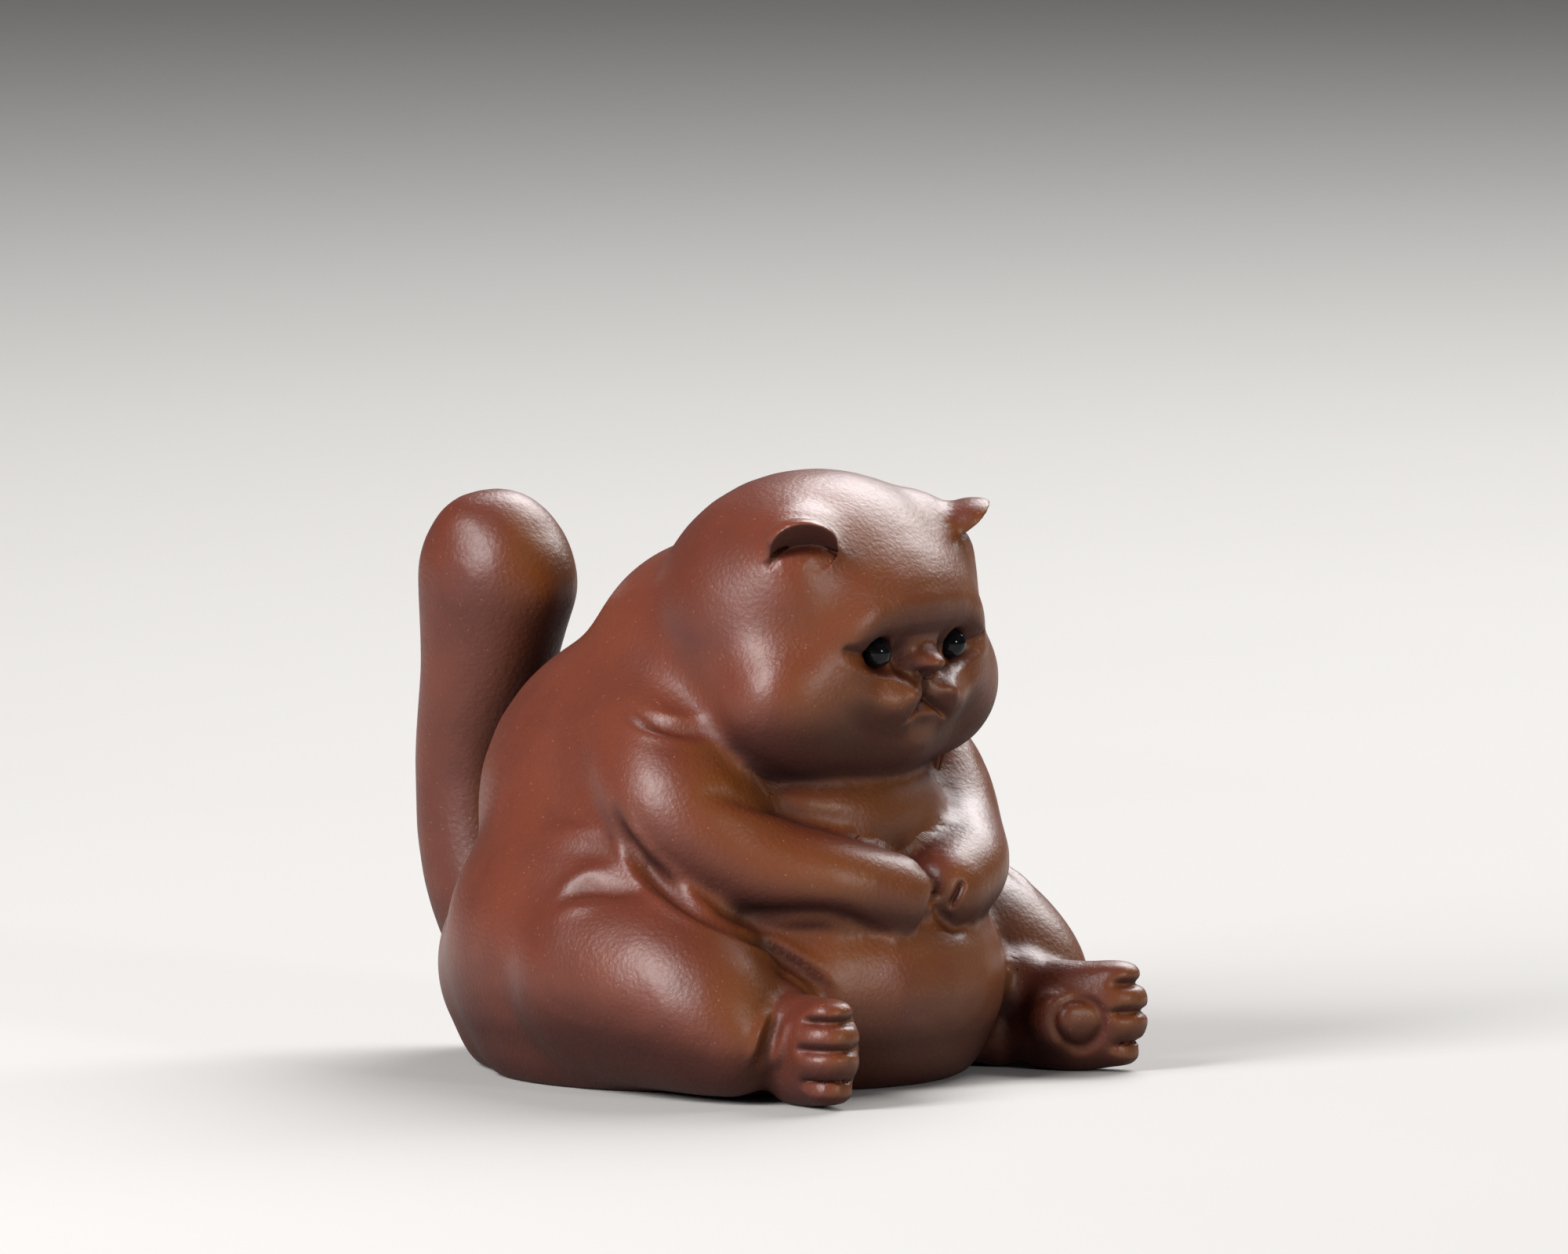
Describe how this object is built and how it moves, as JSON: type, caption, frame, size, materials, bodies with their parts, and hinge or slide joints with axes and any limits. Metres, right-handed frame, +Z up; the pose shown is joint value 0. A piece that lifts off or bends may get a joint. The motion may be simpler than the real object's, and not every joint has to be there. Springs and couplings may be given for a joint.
{
  "type": "cat tea pet",
  "caption": "Fat cat figurine in unglazed red-brown clay, sitting upright with paws folded on its belly, hind feet forward and a thick raised tail; rests on a tea tray.",
  "frame": {"origin": "middle of the flat underside, on the table plane", "axes": "+Z up, -Y the way the cat faces, +X to the cat's left"},
  "size_m": [0.0814, 0.0956, 0.0775],
  "materials": {
    "body_clay": "satin unglazed clay",
    "slab_clay": "matt unglazed clay",
    "head_clay": "satin unglazed clay",
    "limb_clay": "satin unglazed clay",
    "foot_clay": "satin unglazed clay",
    "tail_clay": "satin unglazed clay",
    "eye_glass": "glossy black"
  },
  "bodies": {
    "root": {"body_shell": "body_clay", "base_slab": "slab_clay", "head_shell": "head_clay", "left_ear": "head_clay", "right_ear": "head_clay", "nose": "head_clay", "left_eye": "eye_glass", "right_eye": "eye_glass", "left_arm": "limb_clay", "right_arm": "limb_clay", "left_haunch": "limb_clay", "right_haunch": "limb_clay", "left_foot": "foot_clay", "right_foot": "foot_clay", "left_sole_pad": "foot_clay", "right_sole_pad": "foot_clay", "tail": "tail_clay"}
  },
  "joints": []
}
